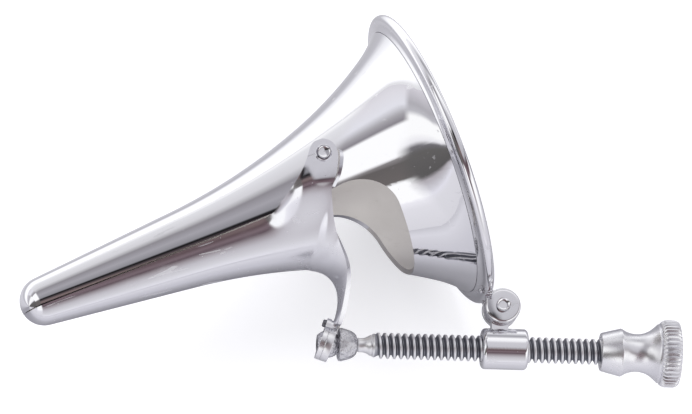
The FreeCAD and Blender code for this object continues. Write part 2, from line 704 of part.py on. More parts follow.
NOTCH = "dims.knob_head_radius"
NOTCH_OUT = f"{NOTCH}+dims.knurl_depth/3"
outline(knurl, [
    (f"{NOTCH}-dims.knurl_depth", "0"),
    (NOTCH_OUT, "-dims.knurl_half_width"),
    (NOTCH_OUT, "dims.knurl_half_width"),
])
notch = knob.newObject("PartDesign::Pocket", "knurl_notch")
notch.Profile = knurl
notch.Reversed = True
notch.setExpression("Length", "dims.knob_head_length")
doc.recompute()
knurling = knob.newObject("PartDesign::PolarPattern", "knurling")
knurling.Originals = [notch]
knurling.Axis = (knurl, ["N_Axis"])
knurling.Angle = 360
knurling.setExpression("Occurrences", "dims.knurls")
knob.Tip = knurling
doc.recompute()

# Swivel cheeks on the rim, with feet that fit the rolled rim.
cheek = new_body("cheek_near")
CHEEK_Z = "dims.tongue_thickness/2+dims.tongue_gap"
PIVOT_Y = "-dims.pivot_drop"
cheek_disc = sketch_on(cheek, "cheek_outline", "XY_Plane", CHEEK_Z)
disc(cheek_disc, "dims.pivot_front", PIVOT_Y, "dims.cheek_radius")
cheek_pad = cheek.newObject("PartDesign::Pad", "cheek_disc")
cheek_pad.Profile = cheek_disc
cheek_pad.setExpression("Length", "dims.cheek_thickness")
doc.recompute()
rims = [number for number, edge in enumerate(cheek_pad.Shape.Edges, start=1)
        if edge.isClosed() and edge.BoundBox.ZMin > size(CHEEK_Z) + size("dims.cheek_thickness") / 2]
cheek_edge = cheek.newObject("PartDesign::Fillet", "cheek_edge")
cheek_edge.Base = (cheek_pad, [f"Edge{number}" for number in rims])
cheek_edge.setExpression("Radius", "dims.cheek_rounding")
doc.recompute()
foot = sketch_on(cheek, "foot_outline", "XY_Plane", CHEEK_Z)
outline(foot, [
    ("-dims.foot_back", f"-{BEAD_Y}+dims.foot_top"),
    ("-dims.foot_back", PIVOT_Y),
    ("dims.pivot_front+dims.foot_reach", PIVOT_Y),
    ("dims.pivot_front+dims.foot_reach", f"{PIVOT_Y}+dims.foot_side"),
    ("dims.foot_front", f"-{BEAD_Y}+dims.foot_top"),
])
foot_pad = cheek.newObject("PartDesign::Pad", "foot_block")
foot_pad.Profile = foot
foot_pad.setExpression("Length", "dims.cheek_thickness")
doc.recompute()
pin_bore = sketch_on(cheek, "pin_bore_outline")
disc(pin_bore, "dims.pivot_front", PIVOT_Y, "dims.pin_radius+dims.pin_fit")
through(cheek, "pin_bore", pin_bore, RIM_SPAN)
rim_tool = new_body("rim_tool")
turned(rim_tool, "rim_tool_turning", trumpet("0", lip))
cheek_seated = doc.addObject("Part::Cut", "cheek_seated")
cheek_seated.Base = cheek
cheek_seated.Tool = rim_tool
swivel_cheeks = mirrored_pair(cheek_seated, "swivel_cheeks")

# Pin through the cheeks, headed on both sides.
pin = new_body("swivel_pin")
pin.Placement = Placement(pivot, Rotation(Vector(0, 1, 0), -90))
PIN_END = f"({CHEEK_Z}+dims.cheek_thickness)"
HEAD_EDGE = "0.75*dims.pin_head_radius"
turned(pin, "pin_turning", [
    (f"-{PIN_END}-dims.pin_head_height", "0"),
    (f"-{PIN_END}-dims.pin_head_height", HEAD_EDGE),
    (f"-{PIN_END}", "dims.pin_head_radius"),
    (f"-{PIN_END}", "dims.pin_radius"),
    (PIN_END, "dims.pin_radius"),
    (PIN_END, "dims.pin_head_radius"),
    (f"{PIN_END}+dims.pin_head_height", HEAD_EDGE),
    (f"{PIN_END}+dims.pin_head_height", "0"),
])

# Nut: a barrel on the screw, with a neck and an eye between the cheeks.
nut = new_body("swivel_nut")
along = Vector(math.cos(math.radians(screw_tilt)), math.sin(math.radians(screw_tilt)), 0)
upright = Vector(-along.y, along.x, 0)
nut_reach = math.sqrt(pivot_way.Length ** 2 - size("dims.pivot_offset") ** 2) + size("dims.nut_front")
nut.Placement = Placement(ball + along * nut_reach, screw_place.Rotation)
eye_local = nut.Placement.inverse().multVec(pivot + Vector(-size("dims.eye_shift"), size("dims.eye_lift"), 0))
barrel = sketch_on(nut, "barrel_profile")
HALF_NUT = "dims.nut_length/2"
BULGE = "dims.nut_rounding"
outline(barrel, [
    (f"-{HALF_NUT}", "0"),
    (f"-{HALF_NUT}", f"dims.nut_radius-{BULGE}", BULGE, -1),
    (f"-{HALF_NUT}+{BULGE}", "dims.nut_radius"),
    (f"{HALF_NUT}-{BULGE}", "dims.nut_radius", BULGE, -1),
    (HALF_NUT, f"dims.nut_radius-{BULGE}"),
    (HALF_NUT, "0"),
])
barrel_turn = nut.newObject("PartDesign::Revolution", "barrel")
barrel_turn.Profile = barrel
barrel_turn.ReferenceAxis = (barrel, ["H_Axis"])
barrel_turn.Angle = 360
doc.recompute()
EYE_X = str(round(eye_local.x, 4))
EYE_Y = str(round(eye_local.y, 4))
tongue = sketch_on(nut, "tongue_outline")
disc(tongue, EYE_X, EYE_Y, "dims.tongue_radius")
through(nut, "tongue_eye", tongue, "dims.tongue_thickness", "PartDesign::Pad")
neck = sketch_on(nut, "neck_outline")
outline(neck, [
    (f"{EYE_X}-dims.tongue_neck/2", "dims.nut_radius/2"),
    (f"{EYE_X}+dims.tongue_neck/2", "dims.nut_radius/2"),
    (f"{EYE_X}+dims.tongue_neck/2", EYE_Y),
    (f"{EYE_X}-dims.tongue_neck/2", EYE_Y),
])
through(nut, "neck", neck, "dims.tongue_thickness", "PartDesign::Pad")
slot = sketch_on(nut, "slot_outline")
slot_turn = math.radians(screw_tilt)
half_slot = size("(dims.slot_length-dims.slot_width)/2")
upper = Vector(math.sin(slot_turn), math.cos(slot_turn), 0) * half_slot
side = Vector(math.cos(slot_turn), -math.sin(slot_turn), 0) * size("dims.slot_width/2")
middle = Vector(eye_local.x, eye_local.y, 0)
slot_points = [middle + upper + side, middle + upper - side, middle - upper - side, middle - upper + side]
slot_names = [(str(round(point.x, 4)), str(round(point.y, 4))) for point in slot_points]
outline(slot, [
    (*slot_names[0], "dims.slot_width/2+0.001", 1),
    slot_names[1],
    (*slot_names[2], "dims.slot_width/2+0.001", 1),
    slot_names[3],
])
through(nut, "slot", slot, "4*dims.tongue_thickness")
screw_way = [
    (f"-{HALF_NUT}-dims.nut_rounding", "0"),
    (f"-{HALF_NUT}-dims.nut_rounding", "dims.thread_radius+dims.nut_bore_play"),
    (f"{HALF_NUT}+dims.nut_rounding", "dims.thread_radius+dims.nut_bore_play"),
    (f"{HALF_NUT}+dims.nut_rounding", "0"),
]
turned(nut, "screw_way", screw_way, "PartDesign::Groove")

doc.recompute()
NODES = {
    "funnel": funnel,
    "swivel_cheeks": swivel_cheeks,
    "swivel_pin": pin,
    "hinge_rivets": hinge_rivets,
    "lower_blade": lower_blade,
    "ball_retainer": retainer,
    "retainer_screw": clamp,
    "retainer_rivets": retainer_rivets,
    "swivel_ball": swivel_ball,
    "screw": screw,
    "knob": knob,
    "swivel_nut": nut,
}
for item in doc.Objects:
    if "Invalid" in item.State or "Error" in item.State:
        raise RuntimeError(f"{item.Name} did not build: {item.State}")
os.makedirs("parts", exist_ok=True)
for name, item in NODES.items():
    item.Label = name
    shape = item.Shape
    if shape.isNull() or not shape.isValid() or not shape.Solids:
        raise RuntimeError(f"{name} is not a valid solid")
    print(name, len(shape.Solids), "solids", round(shape.Volume, 2), "mm3")
for name, item in NODES.items():
    item.Shape.exportStep(f"parts/{name}.step")
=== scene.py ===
import bpy
import bmesh
import math
from mathutils import Matrix, Vector


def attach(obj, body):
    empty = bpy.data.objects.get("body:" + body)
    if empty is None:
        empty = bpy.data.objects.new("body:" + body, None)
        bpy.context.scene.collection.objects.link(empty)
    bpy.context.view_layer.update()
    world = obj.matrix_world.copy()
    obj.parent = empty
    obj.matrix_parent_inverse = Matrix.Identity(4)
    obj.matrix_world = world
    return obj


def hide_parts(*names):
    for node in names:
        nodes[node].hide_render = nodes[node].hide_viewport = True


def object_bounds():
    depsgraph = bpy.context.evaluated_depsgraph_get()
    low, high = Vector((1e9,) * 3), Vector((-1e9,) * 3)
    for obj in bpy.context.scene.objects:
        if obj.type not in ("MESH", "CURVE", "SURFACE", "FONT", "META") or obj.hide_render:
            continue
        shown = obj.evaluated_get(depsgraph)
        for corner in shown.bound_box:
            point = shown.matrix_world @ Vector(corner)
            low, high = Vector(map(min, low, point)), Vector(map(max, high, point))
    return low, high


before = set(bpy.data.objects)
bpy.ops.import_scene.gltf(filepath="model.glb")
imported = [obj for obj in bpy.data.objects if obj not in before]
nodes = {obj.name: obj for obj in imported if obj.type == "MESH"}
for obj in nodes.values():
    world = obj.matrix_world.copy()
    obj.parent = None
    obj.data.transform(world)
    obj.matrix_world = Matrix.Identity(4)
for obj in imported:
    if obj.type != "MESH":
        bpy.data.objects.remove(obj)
cad_box = [list(corner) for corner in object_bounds()]
scene = bpy.context.scene
scene.view_settings.view_transform = "Standard"

# Camera: a long lens almost straight above the instrument, a little towards the blades' tips and the screw,
# turned so that the blades point down and to the left. The picture is 692 by 414 pixels.
to_camera = Vector((-0.1934, -0.165, 0.967)).normalized()
funnel_axis_seen = (Vector((1, 0, 0)) - to_camera * to_camera.x).normalized()
across_seen = to_camera.cross(funnel_axis_seen)
roll = math.radians(20.155)
picture_right = funnel_axis_seen * math.cos(roll) - across_seen * math.sin(roll)
picture_up = funnel_axis_seen * math.sin(roll) + across_seen * math.cos(roll)
pixels_per_mm = 6.378
picture_centre = picture_right * ((346 - 430.56) / pixels_per_mm) + picture_up * ((159.26 - 207) / pixels_per_mm)
camera_distance = 1500
camera_data = bpy.data.cameras.new("camera")
camera_data.sensor_width = 36
camera_data.lens = 36 * camera_distance / (692 / pixels_per_mm)
camera_data.clip_end = 10
camera = bpy.data.objects.new("camera", camera_data)
scene.collection.objects.link(camera)
camera.matrix_world = Matrix.LocRotScale(
    (picture_centre + to_camera * camera_distance) / 1000,
    Matrix((picture_right, picture_up, to_camera)).transposed(), None)
scene.camera = camera


# Floor: a matt white table under the rim. The camera sees it as clean white with the instrument's soft shadow,
# and in the polished metal's reflections its colour is painted: painted shade in grey bands across Y, darkest under
# the instrument, with a painted bright band on the far side.
def linear(hex_colour):
    """An sRGB hex colour as linear RGBA."""
    channels = [int(hex_colour[i:i + 2], 16) / 255 for i in (0, 2, 4)]
    return [c / 12.92 if c <= 0.04045 else ((c + 0.055) / 1.055) ** 2.4 for c in channels] + [1.0]


def add_node(tree, kind, inputs=None, **settings):
    """Add a node with its settings, and give its inputs values or links from other nodes' outputs."""
    node = tree.nodes.new(kind)
    for key, value in settings.items():
        setattr(node, key, value)
    for key, value in (inputs or {}).items():
        if isinstance(value, bpy.types.NodeSocket):
            tree.links.new(value, node.inputs[key])
        else:
            node.inputs[key].default_value = value
    return node


floor_paint = bpy.data.materials.new("matt_white_table")
floor_paint.use_nodes = True
tree = floor_paint.node_tree
surface = tree.nodes["Principled BSDF"]
surface.inputs["Base Color"].default_value = linear("E9E9EC")
surface.inputs["Roughness"].default_value = 0.9
surface.inputs["Specular IOR Level"].default_value = 0.0
surface.inputs["Emission Color"].default_value = linear("FFFFFF")
rays = add_node(tree, "ShaderNodeLightPath")
glow = add_node(tree, "ShaderNodeMath", {0: rays.outputs["Is Camera Ray"], 1: 0.34}, operation="MULTIPLY")
tree.links.new(glow.outputs[0], surface.inputs["Emission Strength"])
where = add_node(tree, "ShaderNodeTexCoord")
place = add_node(tree, "ShaderNodeSeparateXYZ", {0: where.outputs["Object"]})
near_side, far_side = -200, 100
across = add_node(tree, "ShaderNodeMapRange", {"Value": place.outputs["Y"], "From Min": near_side / 1000,
                                               "From Max": far_side / 1000})
# Painted shadow for reflected rays only: grey bands across Y, darkest just under the instrument's axis, and a painted
# bright band from about 50 mm out on the far side.
painted_shadow_in_reflections = add_node(tree, "ShaderNodeValToRGB", {0: across.outputs[0]})
ramp = painted_shadow_in_reflections.color_ramp
ramp.elements.remove(ramp.elements[1])
for number, (y, shade) in enumerate(((-200, "DEDDE2"), (-110, "D2D1D6"), (-55, "C6C5CB"), (-30, "ACABB0"),
                                     (-12, "9C9BA1"), (2, "9A999F"), (9, "C6C5CA"), (22, "CCCBD0"), (34, "B6B5B9"),
                                     (42, "BCBBC0"), (50, "E8E8EA"), (62, "FDFDFD"))):
    share = (y - near_side) / (far_side - near_side)
    stop = ramp.elements[0] if number == 0 else ramp.elements.new(share)
    stop.position = share
    stop.color = linear(shade)
paint = add_node(tree, "ShaderNodeMixRGB", {0: rays.outputs["Is Glossy Ray"], 1: linear("E9E9EC"),
                                            2: painted_shadow_in_reflections.outputs[0]})
tree.links.new(paint.outputs[0], surface.inputs["Base Color"])
floor_mesh = bmesh.new()
bmesh.ops.create_grid(floor_mesh, x_segments=1, y_segments=1, size=3.0)
bmesh.ops.translate(floor_mesh, verts=floor_mesh.verts, vec=(0, 0, cad_box[0][2]))
floor_data = bpy.data.meshes.new("floor")
floor_mesh.to_mesh(floor_data)
floor_mesh.free()
floor_data.materials.append(floor_paint)
floor = bpy.data.objects.new("floor", floor_data)
scene.collection.objects.link(floor)

# Studio: lamps with white covers and dark gaps between them, which the polished metal shows as bands. The bands turn
# about the funnel's axis, and the four rings of them are what faces the blades, the bell, the rim and the swivel.
world = bpy.data.worlds.new("studio")
world.use_nodes = True
scene.world = world
tree = world.node_tree
tree.nodes.clear()
direction = add_node(tree, "ShaderNodeTexCoord")
parts = add_node(tree, "ShaderNodeSeparateXYZ", {0: direction.outputs["Generated"]})
turn = add_node(tree, "ShaderNodeMath", {0: parts.outputs["Y"], 1: parts.outputs["Z"]}, operation="ARCTAN2")
turn_share = add_node(tree, "ShaderNodeMapRange", {"Value": turn.outputs[0], "From Min": -math.pi,
                                                   "From Max": math.pi})
studio_bands = {
    "blades": [
        (-180, "A1A0A6"), (-130, "BFBEC4"), (-112, "CFCED4"), (-92, "EAE9EF"), (-76, "D6D5D9"), (-58, "C2BFC4"),
        (-44, "9A9296"), (-35, "62545A"), (-27, "7A6A70"), (-19, "5E4E52"), (-11, "80706F"), (-4, "4A4346"),
        (1, "141315"), (4, "29282A"), (7, "8C8B90"), (24, "A4A2A8"), (44, "8E8B90"), (50, "B0AFB2"), (60, "D3D2D5"),
        (84, "E2E2E5"), (90, "FCFCFC"), (108, "F8F7F8"), (118, "DCDCDE"), (124, "B7B6BA"), (140, "D0CFD5"),
        (164, "DAD9DF"), (180, "A1A0A6"),
    ],
    "bell": [
        (-180, "929196"), (-142, "9B9AA1"), (-128, "C4C4C9"), (-90, "D8D7DC"), (-64, "E0DFE4"), (-55, "EEEDF2"),
        (-52, "FFFFFF"), (-26, "FFFFFF"), (-23, "6A6564"), (0, "64605F"), (5, "8A8687"), (9, "FFFFFF"),
        (45, "FFFFFF"), (49, "88848A"), (57, "A8A6AA"), (68, "E3E3E9"), (84, "DEDCE1"), (100, "CFCDD2"),
        (128, "DFDFE1"), (156, "DADADC"), (180, "929196"),
    ],
    "rim": [
        (-180, "A1A0A6"), (-124, "D3D2D7"), (-60, "DBDADF"), (-52, "E1E0E8"), (-42, "C4C2C8"), (-34, "B0ABB0"),
        (-28, "5A5858"), (4, "62605F"), (13, "706E72"), (19, "EAE9EC"), (30, "FDFDFC"), (53, "FDFDFC"),
        (60, "BCBBC0"), (70, "AFADB2"), (92, "D2CFD5"), (140, "D8D7DC"), (180, "A1A0A6"),
    ],
    "swivel": [
        (-180, "A1A0A6"), (-110, "CFCED4"), (-80, "D6D5DA"), (-62, "FFFFFF"), (-36, "FFFFFF"), (-30, "6B5A60"),
        (-22, "54464B"), (-16, "B8B7BC"), (0, "C6C5CA"), (20, "CBCACF"), (32, "F4F4F6"), (46, "FFFFFF"),
        (56, "C0BFC4"), (66, "9A999E"), (76, "C4C4C8"), (92, "F0F0F2"), (130, "D0CFD5"), (180, "A1A0A6"),
    ],
}
rings = {}
for ring, bands in studio_bands.items():
    rings[ring] = add_node(tree, "ShaderNodeValToRGB", {0: turn_share.outputs[0]})
    ramp = rings[ring].color_ramp
    ramp.elements.remove(ramp.elements[1])
    for number, (angle, shade) in enumerate(bands):
        share = (angle + 180) / 360
        stop = ramp.elements[0] if number == 0 else ramp.elements.new(share)
        stop.position = share
        stop.color = linear(shade)
to_bell = add_node(tree, "ShaderNodeMapRange", {"Value": parts.outputs["X"], "From Min": -0.42, "From Max": -0.5})
to_rim = add_node(tree, "ShaderNodeMapRange", {"Value": parts.outputs["X"], "From Min": -0.74, "From Max": -0.79})
inner_rings = add_node(tree, "ShaderNodeMixRGB", {0: to_bell.outputs[0], 1: rings["blades"].outputs[0],
                                                  2: rings["bell"].outputs[0]})
to_swivel = add_node(tree, "ShaderNodeMapRange", {"Value": parts.outputs["X"], "From Min": 0.03, "From Max": 0.12})
blade_side = add_node(tree, "ShaderNodeMixRGB", {0: to_rim.outputs[0], 1: inner_rings.outputs[0],
                                                 2: rings["rim"].outputs[0]})
all_rings = add_node(tree, "ShaderNodeMixRGB", {0: to_swivel.outputs[0], 1: blade_side.outputs[0],
                                                2: rings["swivel"].outputs[0]})
rays = add_node(tree, "ShaderNodeLightPath")
reflected = add_node(tree, "ShaderNodeMixRGB", {0: rays.outputs["Is Glossy Ray"], 1: linear("F3F3F5"),
                                               2: all_rings.outputs[0]})
shown = add_node(tree, "ShaderNodeMixRGB", {0: rays.outputs["Is Camera Ray"], 1: reflected.outputs[0],
                                            2: linear("FFFFFF")})
brightness = add_node(tree, "ShaderNodeMath", {0: rays.outputs["Is Glossy Ray"], 1: 0.15, 2: 1.0},
                      operation="MULTIPLY_ADD")
background = add_node(tree, "ShaderNodeBackground", {"Color": shown.outputs[0], "Strength": brightness.outputs[0]})
add_node(tree, "ShaderNodeOutputWorld", {"Surface": background.outputs[0]})

lamp_data = bpy.data.lights.new("soft_lamp", "AREA")
lamp_data.shape = "DISK"
lamp_data.size = 0.5
lamp_data.energy = 2.0
lamp = bpy.data.objects.new("soft_lamp", lamp_data)
lamp_place = Vector((-0.1, 0.35, 0.6))
lamp.matrix_world = Matrix.LocRotScale(lamp_place, lamp_place.to_track_quat("Z", "Y"), None)
lamp.visible_glossy = False
scene.collection.objects.link(lamp)


# Funnel: the trumpet and the fixed upper blade, spun and drawn from one brass sheet, plated and polished. Its
# lower half is cut away for the hinged blade, with a rounded window behind it. The edge is rolled over a bead.
def bend(profile, vert, heading, radius, turn, steps):
    """Carry a profile on along an arc: heading and turn in degrees, the centre on the left for a radius above 0."""
    way = math.radians(heading)
    centre = vert.co + Vector((-math.sin(way), math.cos(way), 0)) * radius
    made = bmesh.ops.spin(profile, geom=[vert], cent=centre, axis=(0, 0, 1), angle=math.radians(turn), steps=steps,
                          use_duplicate=False)
    return [item for item in made["geom_last"] if isinstance(item, bmesh.types.BMVert)][0]


def run(profile, vert, x, y, steps=1):
    """Carry a profile on in a straight line to x, y."""
    start = vert.co.copy()
    for step in range(1, steps + 1):
        vert = bmesh.ops.extrude_vert_indiv(profile, verts=[vert])["verts"][0]
        vert.co = start.lerp(Vector((x, y, 0)), step / steps)
    return vert


def turn_round(profile, steps):
    """Spin a profile all the way about the X axis and close its poles."""
    bmesh.ops.spin(profile, geom=profile.verts[:] + profile.edges[:], cent=(0, 0, 0), axis=(1, 0, 0),
                   angle=2 * math.pi, steps=steps, use_merge=True)
    bmesh.ops.remove_doubles(profile, verts=profile.verts, dist=0.0005)
    bmesh.ops.recalc_face_normals(profile, faces=profile.faces)


def cut_away(shape, cuts):
    """Cut the shape by planes, given by a point and a way out, and delete what lies inside all of them."""
    inside = shape.faces[:]
    for point, way_out in cuts:
        geometry = dict.fromkeys(inside)
        for face in inside:
            geometry.update(dict.fromkeys(face.edges))
            geometry.update(dict.fromkeys(face.verts))
        made = bmesh.ops.bisect_plane(shape, geom=list(geometry), dist=0.0001, plane_co=point, plane_no=way_out)
        pieces = [item for item in made["geom"] if isinstance(item, bmesh.types.BMFace)]
        inside = [face for face in pieces
                  if (face.calc_center_median() - Vector(point)).dot(Vector(way_out)) < 0]
    bmesh.ops.delete(shape, geom=inside, context="FACES")


def piece(name, shape, material, body, sharp=35, place=None):
    """Turn a bmesh in millimetres into a smooth-shaded piece that rides on a body."""
    if place:
        bmesh.ops.transform(shape, matrix=place, verts=shape.verts)
    bmesh.ops.scale(shape, vec=(0.001, 0.001, 0.001), verts=shape.verts)
    data = bpy.data.meshes.new(name)
    shape.to_mesh(data)
    shape.free()
    data.polygons.foreach_set("use_smooth", [True] * len(data.polygons))
    data.set_sharp_from_angle(angle=math.radians(sharp))
    data.materials.append(material)
    made = bpy.data.objects.new(name, data)
    scene.collection.objects.link(made)
    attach(made, body)
    return made


def metal(name, hex_colour, roughness, worn=0.0, scratched=0.0, grain=(1, 1, 1), grain_mm=0.4, relief=0.0,
          relief_mm=0.1):
    """A metal: its roughness rises with wear in patches and in fine scratches, and its relief is a stretched grain."""
    material = bpy.data.materials.new(name)
    material.use_nodes = True
    tree = material.node_tree
    shader = tree.nodes["Principled BSDF"]
    shader.inputs["Base Color"].default_value = linear(hex_colour)
    shader.inputs["Metallic"].default_value = 1.0
    where = add_node(tree, "ShaderNodeTexCoord")
    # Worn patches are about 4.5 mm across, as a fingertip leaves them.
    patches = add_node(tree, "ShaderNodeTexNoise", {"Vector": where.outputs["Object"], "Scale": 220.0, "Detail": 5.0,
                                                    "Roughness": 0.65})
    rubbed = add_node(tree, "ShaderNodeMapRange", {"Value": patches.outputs[0], "From Min": 0.42, "From Max": 0.7,
                                                   "To Min": roughness, "To Max": roughness + worn})
    # Hairline scratches: drawn 1 mm wide and 17 mm long, coarser than the real ones, so that they show.
    drawn = add_node(tree, "ShaderNodeMapping", {"Vector": where.outputs["Object"], "Scale": (60, 900, 900),
                                                 "Rotation": (0.4, 0.3, 0.9)})
    hairlines = add_node(tree, "ShaderNodeTexNoise", {"Vector": drawn.outputs[0], "Scale": 1.0, "Detail": 1.0,
                                                      "Distortion": 0.6})
    scratches = add_node(tree, "ShaderNodeMapRange", {"Value": hairlines.outputs[0], "From Min": 0.69,
                                                      "From Max": 0.72, "To Max": scratched})
    # Pits in the plate: one or none to each 1.1 mm, about 0.1 mm wide.
    specks = add_node(tree, "ShaderNodeTexVoronoi", {"Vector": where.outputs["Object"], "Scale": 900.0})
    pits = add_node(tree, "ShaderNodeMapRange", {"Value": specks.outputs["Distance"], "From Min": 0.09,
                                                 "From Max": 0.05, "To Max": scratched})
    marks = add_node(tree, "ShaderNodeMath", {0: scratches.outputs[0], 1: pits.outputs[0]}, operation="MAXIMUM")
    total = add_node(tree, "ShaderNodeMath", {0: rubbed.outputs[0], 1: marks.outputs[0]}, operation="ADD")
    tree.links.new(total.outputs[0], shader.inputs["Roughness"])
    # The grain that the tool or the sand left: grain_mm is its width, and grain stretches it along the cut.
    if relief:
        stretched = add_node(tree, "ShaderNodeMapping", {"Vector": where.outputs["Object"], "Scale": grain})
        lines = add_node(tree, "ShaderNodeTexNoise", {"Vector": stretched.outputs[0], "Scale": 1000 / grain_mm,
                                                      "Detail": 3.0})
        bump = add_node(tree, "ShaderNodeBump", {"Height": lines.outputs[0], "Strength": relief,
                                                 "Distance": relief_mm / 1000})
        tree.links.new(bump.outputs[0], shader.inputs["Normal"])
    return material


# Chrome over brass, buffed to a mirror; and the same plate inside the funnel, where no wheel reaches, so that it
# stays dull and a little warm.
chrome = metal("polished_chrome_plate", "EEEEF1", 0.03, worn=0.04, scratched=0.22)
horn_inside = metal("satin_plate_inside", "D6D2CE", 0.4, worn=0.1, scratched=0.1, grain=(0.12, 1, 1), grain_mm=0.25,
                    relief=0.5, relief_mm=0.02)

nose_radius = 3.85
mouth_x, mouth_radius = -1.4, 21.597
seam = -0.9
sheet = 0.8


def trumpet(profile):
    """Outer profile of the trumpet, from the tip of its nose to its mouth."""
    tip = profile.verts.new((-69.188, 0, 0))
    nose = bend(profile, tip, 90, -nose_radius, -84.3, 18)
    cone = run(profile, nose, -41.988, 6.1998, 24)
    throat = bend(profile, cone, 5.7, 93.8, 15.1, 26)
    bell = bend(profile, throat, 20.8, 66.5, 12.6, 14)
    return bend(profile, bell, 33.4, 18.7, 14.6, 6)


horn = bmesh.new()
trumpet(horn)
turn_round(horn, 240)
corner = Vector((-17.0, -7.9, 0))
window = [((0, seam, 0), (0, 1, 0))]
for step in range(1, 18):
    way = Vector((math.sin(math.radians(5 * step)), math.cos(math.radians(5 * step)), 0))
    window.append((corner + way * 7.0, way))
window.append((corner + Vector((7.0, 0, 0)), (math.cos(math.radians(4)), math.sin(math.radians(4)), 0)))
cut_away(horn, window)
bmesh.ops.remove_doubles(horn, verts=horn.verts, dist=0.02)
bmesh.ops.recalc_face_normals(horn, faces=horn.faces)
bmesh.ops.solidify(horn, geom=horn.faces[:] + horn.edges[:] + horn.verts[:], thickness=sheet)
funnel = piece("funnel_horn", horn, chrome, "funnel_body")
rounded = funnel.modifiers.new("rounded_edges", "BEVEL")
rounded.width = 0.0002
rounded.segments = 3
rounded.limit_method = "ANGLE"
rounded.angle_limit = math.radians(55)
rounded.harden_normals = True
for face in funnel.data.polygons:
    radial = Vector((0, face.center.y, face.center.z)).normalized()
    if face.normal.dot(radial) < -0.4:
        face.material_index = 1
funnel.data.materials.append(horn_inside)
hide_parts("funnel")

# Rim: the funnel's own edge, turned out over a wire bead and closed back on the sheet, where it leaves a fine groove.
# The plate is stained brown by flux where the swivel's cheeks were soldered on.
def run_through(profile, vert, points):
    """Carry a profile on in straight lines through the points."""
    for x, y in points:
        vert = run(profile, vert, x, y)
    return vert


lip = bmesh.new()
vert = lip.verts.new((mouth_x - 0.1, mouth_radius - 0.55, 0))
vert = run_through(lip, vert, ((mouth_x + 0.24, mouth_radius - 0.32), (mouth_x + 0.02, mouth_radius + 0.08),
                               (mouth_x + 0.03, mouth_radius + 0.16), (mouth_x + 0.1, mouth_radius + 0.24),
                               (mouth_x + 0.3, mouth_radius + 0.6), (-0.86, 22.55), (-0.8, 22.85), (-0.79, 23.19)))
vert = bend(lip, vert, 90, -0.79, -178, 16)
run_through(lip, vert, ((0.6, 22.7), (mouth_x + 1.0, mouth_radius - 0.2), (mouth_x - 0.1, mouth_radius - 1.0)))
turn_round(lip, 240)
rim_chrome = metal("flux_stained_chrome_plate", "EEEEF1", 0.04, worn=0.08, scratched=0.22)
tree = rim_chrome.node_tree
where = add_node(tree, "ShaderNodeTexCoord")
from_joint = add_node(tree, "ShaderNodeVectorMath", {0: where.outputs["Object"], 1: (-0.0014, -0.0231, 0.0036)},
                      operation="DISTANCE")
near_joint = add_node(tree, "ShaderNodeMapRange", {"Value": from_joint.outputs["Value"], "From Min": 0.0022,
                                                   "From Max": 0.0006, "To Min": -0.25, "To Max": 0.08})
blots = add_node(tree, "ShaderNodeTexNoise", {"Vector": where.outputs["Object"], "Scale": 1400.0, "Detail": 4.0})
spread = add_node(tree, "ShaderNodeMath", {0: blots.outputs[0], 1: near_joint.outputs[0]}, operation="ADD")
stain = add_node(tree, "ShaderNodeMapRange", {"Value": spread.outputs[0], "From Min": 0.5, "From Max": 0.6,
                                              "To Max": 0.85})
stained = add_node(tree, "ShaderNodeMixRGB", {0: stain.outputs[0], 1: linear("EEEEF1"), 2: linear("5C4030")})
tree.links.new(stained.outputs[0], tree.nodes["Principled BSDF"].inputs["Base Color"])
rim = piece("funnel_rim", lip, rim_chrome, "funnel_body")
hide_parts("funnel")

# Lower blade: the hinged half shell. Its sheet steps out over the fixed blade into a round ear at each rivet, and
# behind the heel it turns down and narrows into the lever. One pressed sheet, plated and polished.
def trumpet_radius(x):
    """Outer radius of the trumpet at x."""
    if x < -65.72:
        return math.sqrt(max(0, nose_radius ** 2 - (x + 65.338) ** 2))
    if x < -41.988:
        return 6.1998 + (x + 41.988) * math.tan(math.radians(5.7))
    for end_x, centre_x, centre_y, radius in ((-17.995, -51.304, 99.535, 93.8), (-5.003, -41.611, 74.015, 66.5),
                                              (-1.4, -15.298, 34.109, 18.7)):
        if x <= end_x:
            return centre_y - math.sqrt(radius ** 2 - (x - centre_x) ** 2)
    return mouth_radius


ear_face = 13.6
ear_foot = 5.5
ear_rise = 7.4
blade_seam = -1.1


def blade_height(x, y):
    """How far the blade's outer face stands out at x, y: on the trumpet, or stepped out towards the ear."""
    radius = trumpet_radius(x)
    shell = math.sqrt(max(0, radius ** 2 - y ** 2))
    share = min(1, max(0, (x + 30) / 8.2))
    share = share * share * (3 - 2 * share)
    if share == 0 or y <= -ear_foot:
        return shell
    foot = math.sqrt(radius ** 2 - ear_foot ** 2)
    part = min(1, (y + ear_foot) / ear_rise)
    rise = (2 * part ** 3 - 3 * part ** 2 + 1) * foot + (3 * part ** 2 - 2 * part ** 3) * ear_face
    step = rise + (part ** 3 - 2 * part ** 2 + part) * ear_rise * ear_foot / foot
    return shell + share * (step - shell)


def placed_grid(shape, across, up, place):
    """Make a grid of across by up cells and put the corner of each column and row at place(column, row)."""
    made = bmesh.ops.create_grid(shape, x_segments=across, y_segments=up, size=1)["verts"]
    for vert in made:
        vert.co = place(round((vert.co.x + 1) / 2 * across), round((vert.co.y + 1) / 2 * up))
    return made


